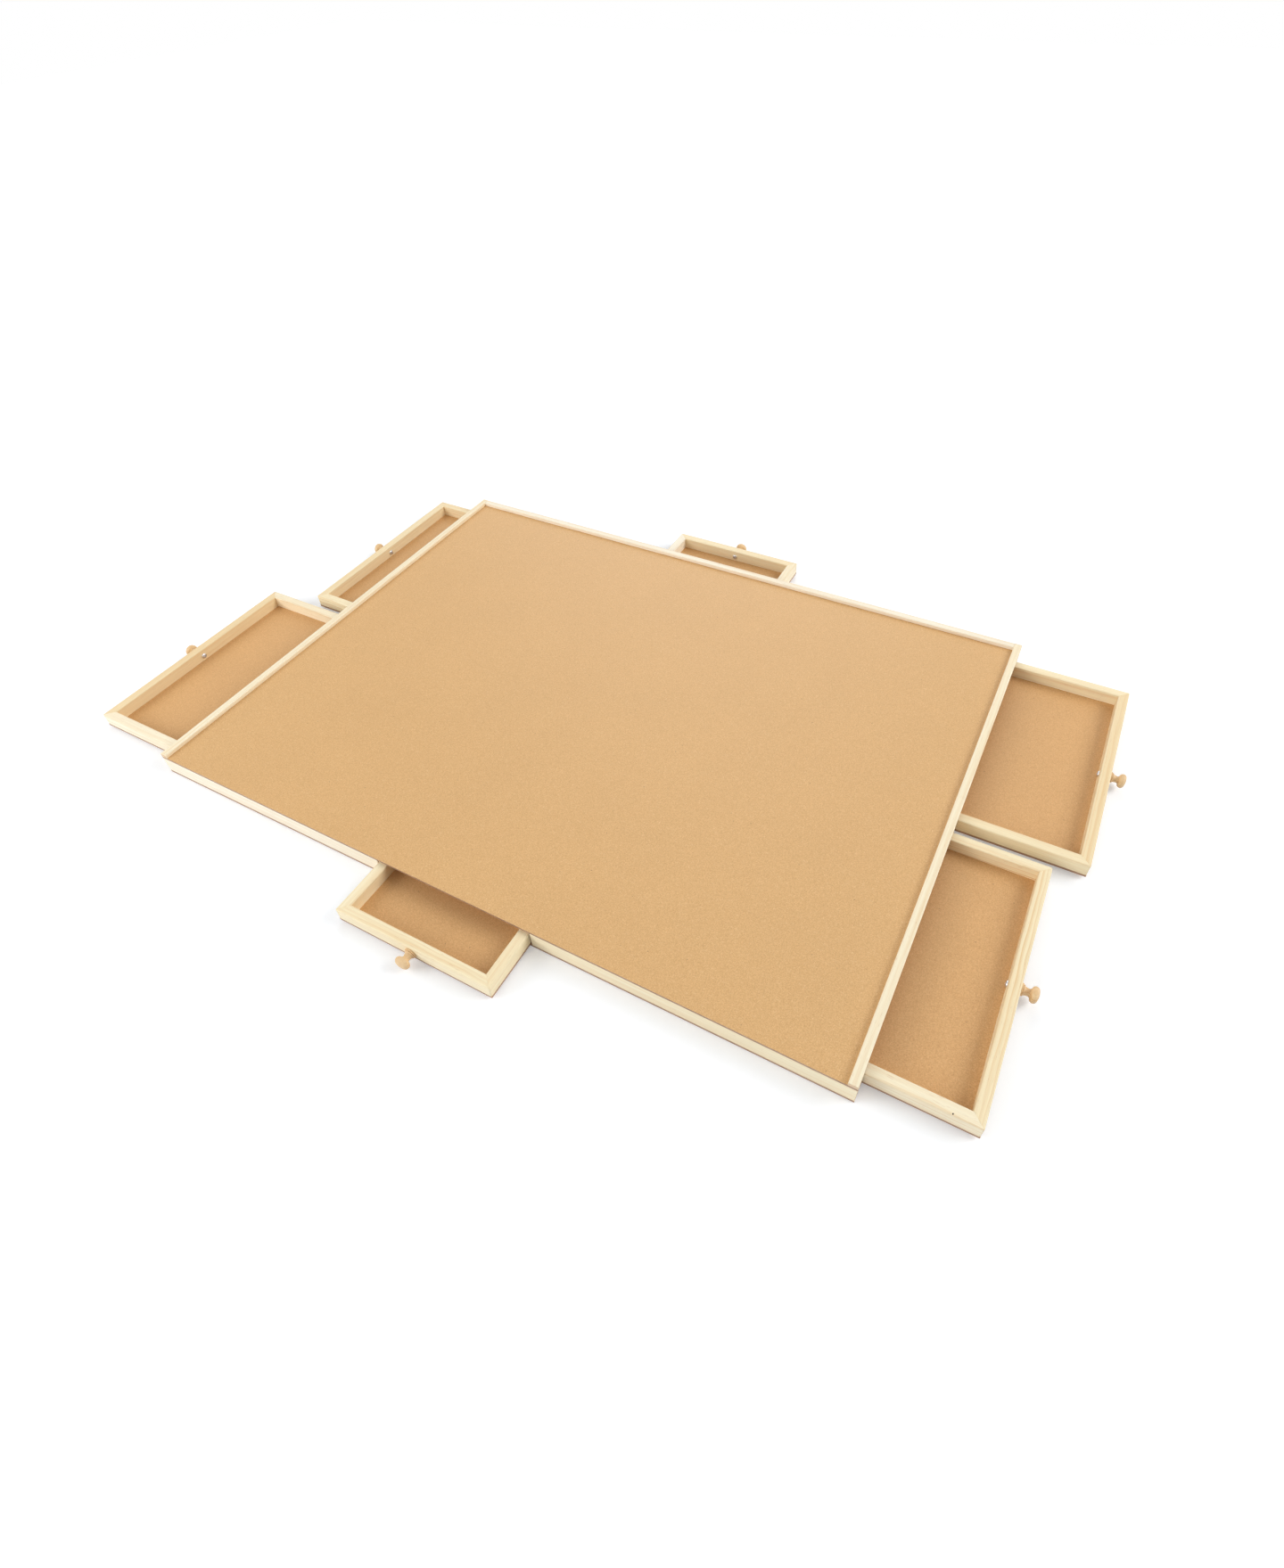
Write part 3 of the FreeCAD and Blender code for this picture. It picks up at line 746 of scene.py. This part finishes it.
def knob_profile(length, head_radius):
    """From the foot to the crown: flange, bead, waisted stem, rounded rim and flat dome."""
    bead_end = FLANGE_THICKNESS + BEAD_THICKNESS
    bead_low = BEAD_RADIUS - BEAD_BULGE
    bead_middle = ((FLANGE_THICKNESS + bead_end) / 2, BEAD_RADIUS)
    points = flange_profile()
    points += arc_over((FLANGE_THICKNESS, bead_low), bead_middle, (bead_end, bead_low), BEAD_STEPS)

    widest = length - DOME_HEIGHT
    rim_radius = head_radius - RIM_INSET
    rim_start = widest - RIM_HEIGHT
    rim_end = widest + RIM_HEIGHT
    stem_start = (bead_end, (BEAD_RADIUS + NECK_RADIUS) / 2)
    stem_middle = ((bead_end + NECK_HEIGHT) / 2, NECK_RADIUS + STEM_SWELL)
    neck = (NECK_HEIGHT, NECK_RADIUS)
    flare_x = NECK_HEIGHT + (rim_start - NECK_HEIGHT) * FLARE_ALONG
    flare_radius = NECK_RADIUS + (rim_radius - NECK_RADIUS) * FLARE_OUT
    points += arc_over(stem_start, stem_middle, neck, STEM_STEPS)
    points += arc_over(neck, (flare_x, flare_radius), (rim_start, rim_radius), FLARE_STEPS)

    crown = (length, 0.0)
    dome_middle = (rim_end + (length - rim_end) * DOME_HALF_WIDTH, rim_radius / 2)
    rim = ((rim_start, rim_radius), (widest, head_radius), (rim_end, rim_radius))
    points += arc_over(*rim, RIM_STEPS)
    points += arc_over((rim_end, rim_radius), dome_middle, crown, DOME_STEPS)
    points.append(crown)
    return points


def build_knob(drawer):
    node = f"{drawer}_knob"
    low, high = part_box(node)
    direction, foot = outward(drawer)
    extent = high - low
    length = abs(extent.dot(direction))
    mesh = turned_mesh(f"{drawer}_turned_knob", knob_profile(length, extent.z / 2))
    points = [vertex.co.copy() for vertex in mesh.vertices]
    mesh.transform(turned_to(direction, foot))
    smooth(mesh, KNOB_CREASE)
    chance = random.Random(f"{drawer} knob")
    level = chance.uniform(*KNOB_LEVELS)
    piece = finish_piece(mesh.name, mesh, node, "knob_wood", (level, level, level))
    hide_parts(node)
    piece["ring_width"] = chance.uniform(*KNOB_RING_WIDTHS) * MM
    piece["ring_depth"] = chance.uniform(*KNOB_RING_DEPTHS)
    piece["paleness"] = 0.0
    place_in_trunk(piece, chance, points, chance.uniform(0, math.tau))


def recess_arm(build, crown, turned):
    """One bar of the cross, which tapers towards the bottom of the recess."""
    corners = []
    levels = ((crown - RECESS_CLEARANCE, 1.0, 1.0), (crown + RECESS_DEPTH, *RECESS_FLOOR))
    for x, reach, width in levels:
        for a, b in SQUARE:
            long_way = a * RECESS_REACH * reach
            short_way = b * RECESS_WIDTH / 2 * width
            y, z = (long_way, short_way) if turned else (short_way, long_way)
            corners.append(build.verts.new((x, y, z)))
    outer, inner = corners[:4], corners[4:]
    bridge(build, outer, inner)
    build.faces.new(outer)
    build.faces.new(inner)


def recess_cutter(crown):
    """The cross that is cut out of a screw head."""
    build = bmesh.new()
    for turned in (False, True):
        recess_arm(build, crown, turned)
    return closed_mesh("recess", build)


def screw_profile(crown, seat, tip, head_radius):
    """From the crown of the pan head, over its underside at the seat, to the tip."""
    rounded = (HEAD_TOP, HEAD_SHOULDER, HEAD_FLANK)
    top, shoulder, flank = ((crown + depth, head_radius * share) for depth, share in rounded)
    brim = (seat - HEAD_HEIGHT * HEAD_BRIM, head_radius)
    points = arc_over((crown, 0.0), top, shoulder, HEAD_STEPS)
    points += arc_over(shoulder, flank, brim, HEAD_STEPS)
    points += [brim, (seat - HEAD_EASE, head_radius), (seat, head_radius - HEAD_EASE)]
    points += [(seat, SHANK_RADIUS), (tip - SHANK_RADIUS, SHANK_RADIUS), (tip, 0.0)]
    return points


def screw_mesh(length, head_radius, stock):
    """A screw along X whose tip is the highest x, with a cross recess in its head. Its seat lies as
    far below x = 0 as the stock of the board is thick."""
    crown = -stock - HEAD_HEIGHT
    profile = screw_profile(crown, -stock, crown + length, head_radius)
    plain = bpy.data.objects.new("plain_screw", turned_mesh("plain_screw", profile))
    cutter = bpy.data.objects.new("recess", recess_cutter(crown))
    for part in (plain, cutter):
        bpy.context.scene.collection.objects.link(part)
    cut = plain.modifiers.new("recess", "BOOLEAN")
    cut.operation = "DIFFERENCE"
    cut.solver = "EXACT"
    cut.use_self = True
    cut.object = cutter
    bpy.context.view_layer.update()
    seen = plain.evaluated_get(bpy.context.evaluated_depsgraph_get())
    mesh = bpy.data.meshes.new_from_object(seen)
    bpy.data.objects.remove(plain)
    bpy.data.objects.remove(cutter)
    return mesh


def build_screw(drawer):
    node = f"{drawer}_screw"
    low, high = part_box(node)
    face_low, face_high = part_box(f"{drawer}_face")
    direction, foot = outward(drawer)
    extent = high - low
    length = abs(extent.dot(direction))
    stock = abs((face_high - face_low).dot(direction))
    mesh = screw_mesh(length, extent.z / 2, stock)
    mesh.name = f"{drawer}_pan_head_screw"
    mesh.transform(turned_to(direction, foot))
    smooth(mesh, SCREW_CREASE)
    piece = finish_piece(mesh.name, mesh, node, "steel")
    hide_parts(node)


# ---------------------------------------------------------------- the object


def build_drawer(drawer, sides):
    """One drawer: mitred frame, floor, knob and screw."""
    floor_low, floor_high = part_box(f"{drawer}_floor")
    middle = (floor_low + floor_high) / 2
    for part in ("face", "back", *sides):
        node = f"{drawer}_{part}"
        low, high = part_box(node)
        across = 1 if (high - low).x > (high - low).y else 0
        outer = 1 if (low + high)[across] / 2 > middle[across] else -1
        pine_board(node, DRAWER_ARRIS, True, outer)
    # The floor is tinted redder and darker; the darkening is painted shade inside the drawer.
    panel(f"{drawer}_floor", DRAWER_FLOOR_TONE_AND_SHADE)
    build_knob(drawer)
    build_screw(drawer)


def build_set_brad():
    """A dark brad head, nearly flush with the top of the right front drawer's near side."""
    node = "right_front_drawer_near_side"
    low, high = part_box(node)
    place = Vector((high.x - BRAD_FROM_FACE, low.y + BRAD_INSET, high.z))
    shoulder = (-BRAD_SHOULDER, BRAD_RADIUS)
    rounded = (BRAD_ROUND[0], BRAD_RADIUS * BRAD_ROUND[1])
    crown = (BRAD_CROWN, 0.0)
    profile = [(-BRAD_LENGTH, 0.0), (-BRAD_LENGTH, BRAD_RADIUS)]
    profile += arc_over(shoulder, rounded, crown, HEAD_STEPS)
    profile.append(crown)
    mesh = turned_mesh("set_brad_head", profile)
    mesh.transform(turned_to(Vector((0.0, 0.0, 1.0)), place))
    smooth(mesh, SCREW_CREASE)
    finish_piece("set_brad_head", mesh, node, "steel", BRAD_TINT)


def keep_cad_mesh(node, slot):
    """Dress a CAD node that shows with its own mesh."""
    kept = frame["nodes"][node]
    kept.data.materials.clear()
    kept.data.materials.append(MATERIALS[slot])
    kept["tint"] = WHITE


def build_fixed_board():
    for side in ("left", "right"):
        pine_board(f"front_rail_{side}")
        pine_board(f"back_rail_{side}", outer=1)
        pine_board(f"bay_wall_{side}")
        pine_board(f"side_divider_{side}")
        pine_board(f"{side}_lip", LIP_ARRIS)
    pine_board("centre_divider")
    pine_board("back_lip", LIP_ARRIS)
    panel("work_surface")
    # The base panel keeps its CAD mesh, which has the holes of the brads.
    keep_cad_mesh("base_panel", "hardboard")
    keep_cad_mesh("base_brads", "steel")


# ---------------------------------------------------------------- studio

FLOOR_HALF = 6.0
FLOOR_DROP = 0.2 * MM  # under the base panel
FLOOR_COLOUR = (0.835, 0.86, 0.895)
NEAR_LIFT = 0.27  # light added to what the camera sees of the floor, so that its lit part is white
FAR_LIFT = 0.85  # the same far from the board, where the lamps light the floor less
LIFT_RANGE = (0.7, 2.0)  # metres from the middle of the board, from the near lift to the far one
AMBIENT = 0.31

# Square lamps: (azimuth, elevation, distance and size in metres, watts). Azimuth 0 is in front, 90 right.
SOFTBOXES = {
    "left_softbox": (-46, 28, 2.7, 1.4, 32),
    "front_softbox": (-8, 20, 4.5, 3.0, 42),
    "right_softbox": (112, 34, 4.2, 2.2, 104),
    "back_softbox": (202, 33, 3.3, 2.3, 31),
}

CAMERA_PLACE = Vector((456.9, -657.2, 771.1)) * MM
CAMERA_TURN = (44.5946, 1.7278, 27.9340)  # degrees about X, Y and Z
CAMERA_SHIFT = (-0.01613, -0.03277)
FOCAL_LENGTH = 19.493  # mm, on a sensor this wide
SENSOR_WIDTH = 36.0
CLIP_RANGE = (0.01, 50.0)


def seen_directly(tree):
    """1 for camera, glossy and transmission rays, and 0 for light that falls on the object."""
    path = tree.add("ShaderNodeLightPath").outputs
    seen = tree.math("MAXIMUM", path["Is Camera Ray"], path["Is Glossy Ray"])
    return tree.math("MAXIMUM", seen, path["Is Transmission Ray"])


def build_world():
    world = bpy.data.worlds.new("studio")
    bpy.context.scene.world = world
    tree = Tree(world)
    strength = tree.spread(seen_directly(tree), 0.0, 1.0, AMBIENT, 1.0)
    background = tree.add("ShaderNodeBackground", {"Color": WHITE, "Strength": strength})
    tree.add("ShaderNodeOutputWorld", {"Surface": background.outputs[0]})


def floor_material():
    """Matt paper with a glow of its own, which only shows where the floor is looked at."""
    material, tree = new_material("studio_floor")
    paper = tree.add("ShaderNodeBsdfDiffuse", {"Color": FLOOR_COLOUR}).outputs[0]
    distance = tree.length(tree.add("ShaderNodeTexCoord").outputs["Object"])
    lift = tree.spread(distance, *LIFT_RANGE, NEAR_LIFT, FAR_LIFT)
    lift = tree.math("MULTIPLY", seen_directly(tree), lift)
    glow = tree.add("ShaderNodeEmission", {"Color": WHITE, "Strength": lift}).outputs[0]
    tree.surface(tree.add("ShaderNodeAddShader", {0: paper, 1: glow}).outputs[0])
    return material


def build_floor():
    corners = [(x * FLOOR_HALF, y * FLOOR_HALF, -FLOOR_DROP) for x, y in SQUARE]
    mesh = bpy.data.meshes.new("studio_floor")
    mesh.from_pydata(corners, [], [(0, 1, 2, 3)])
    mesh.materials.append(floor_material())
    floor = bpy.data.objects.new("studio_floor", mesh)
    bpy.context.scene.collection.objects.link(floor)


def softbox(name, azimuth, elevation, distance, size, power):
    """A square area lamp that looks at the middle of the board."""
    lamp = bpy.data.lights.new(name, "AREA")
    lamp.shape = "SQUARE"
    lamp.size = size
    lamp.energy = power
    holder = bpy.data.objects.new(name, lamp)
    bpy.context.scene.collection.objects.link(holder)
    turn, rise = math.radians(azimuth), math.radians(elevation)
    flat = math.cos(rise)
    way = Vector((math.sin(turn) * flat, -math.cos(turn) * flat, math.sin(rise)))
    holder.location = way * distance
    holder.rotation_euler = way.to_track_quat("Z", "Y").to_euler()


def build_lights():
    for name, settings in SOFTBOXES.items():
        softbox(name, *settings)


def build_camera():
    lens = bpy.data.cameras.new("camera")
    lens.lens = FOCAL_LENGTH
    lens.sensor_width = SENSOR_WIDTH
    lens.shift_x, lens.shift_y = CAMERA_SHIFT
    lens.clip_start, lens.clip_end = CLIP_RANGE
    camera = bpy.data.objects.new("camera", lens)
    camera.location = CAMERA_PLACE
    camera.rotation_euler = Euler([math.radians(angle) for angle in CAMERA_TURN], "XYZ")
    bpy.context.scene.collection.objects.link(camera)
    bpy.context.scene.camera = camera


build_fixed_board()
for drawer in SIDE_DRAWERS:
    build_drawer(drawer, ("near_side", "far_side"))
for drawer in MIDDLE_DRAWERS:
    build_drawer(drawer, ("left_side", "right_side"))
build_set_brad()
build_world()
build_floor()
build_lights()
build_camera()
bpy.context.scene.view_settings.view_transform = "Standard"
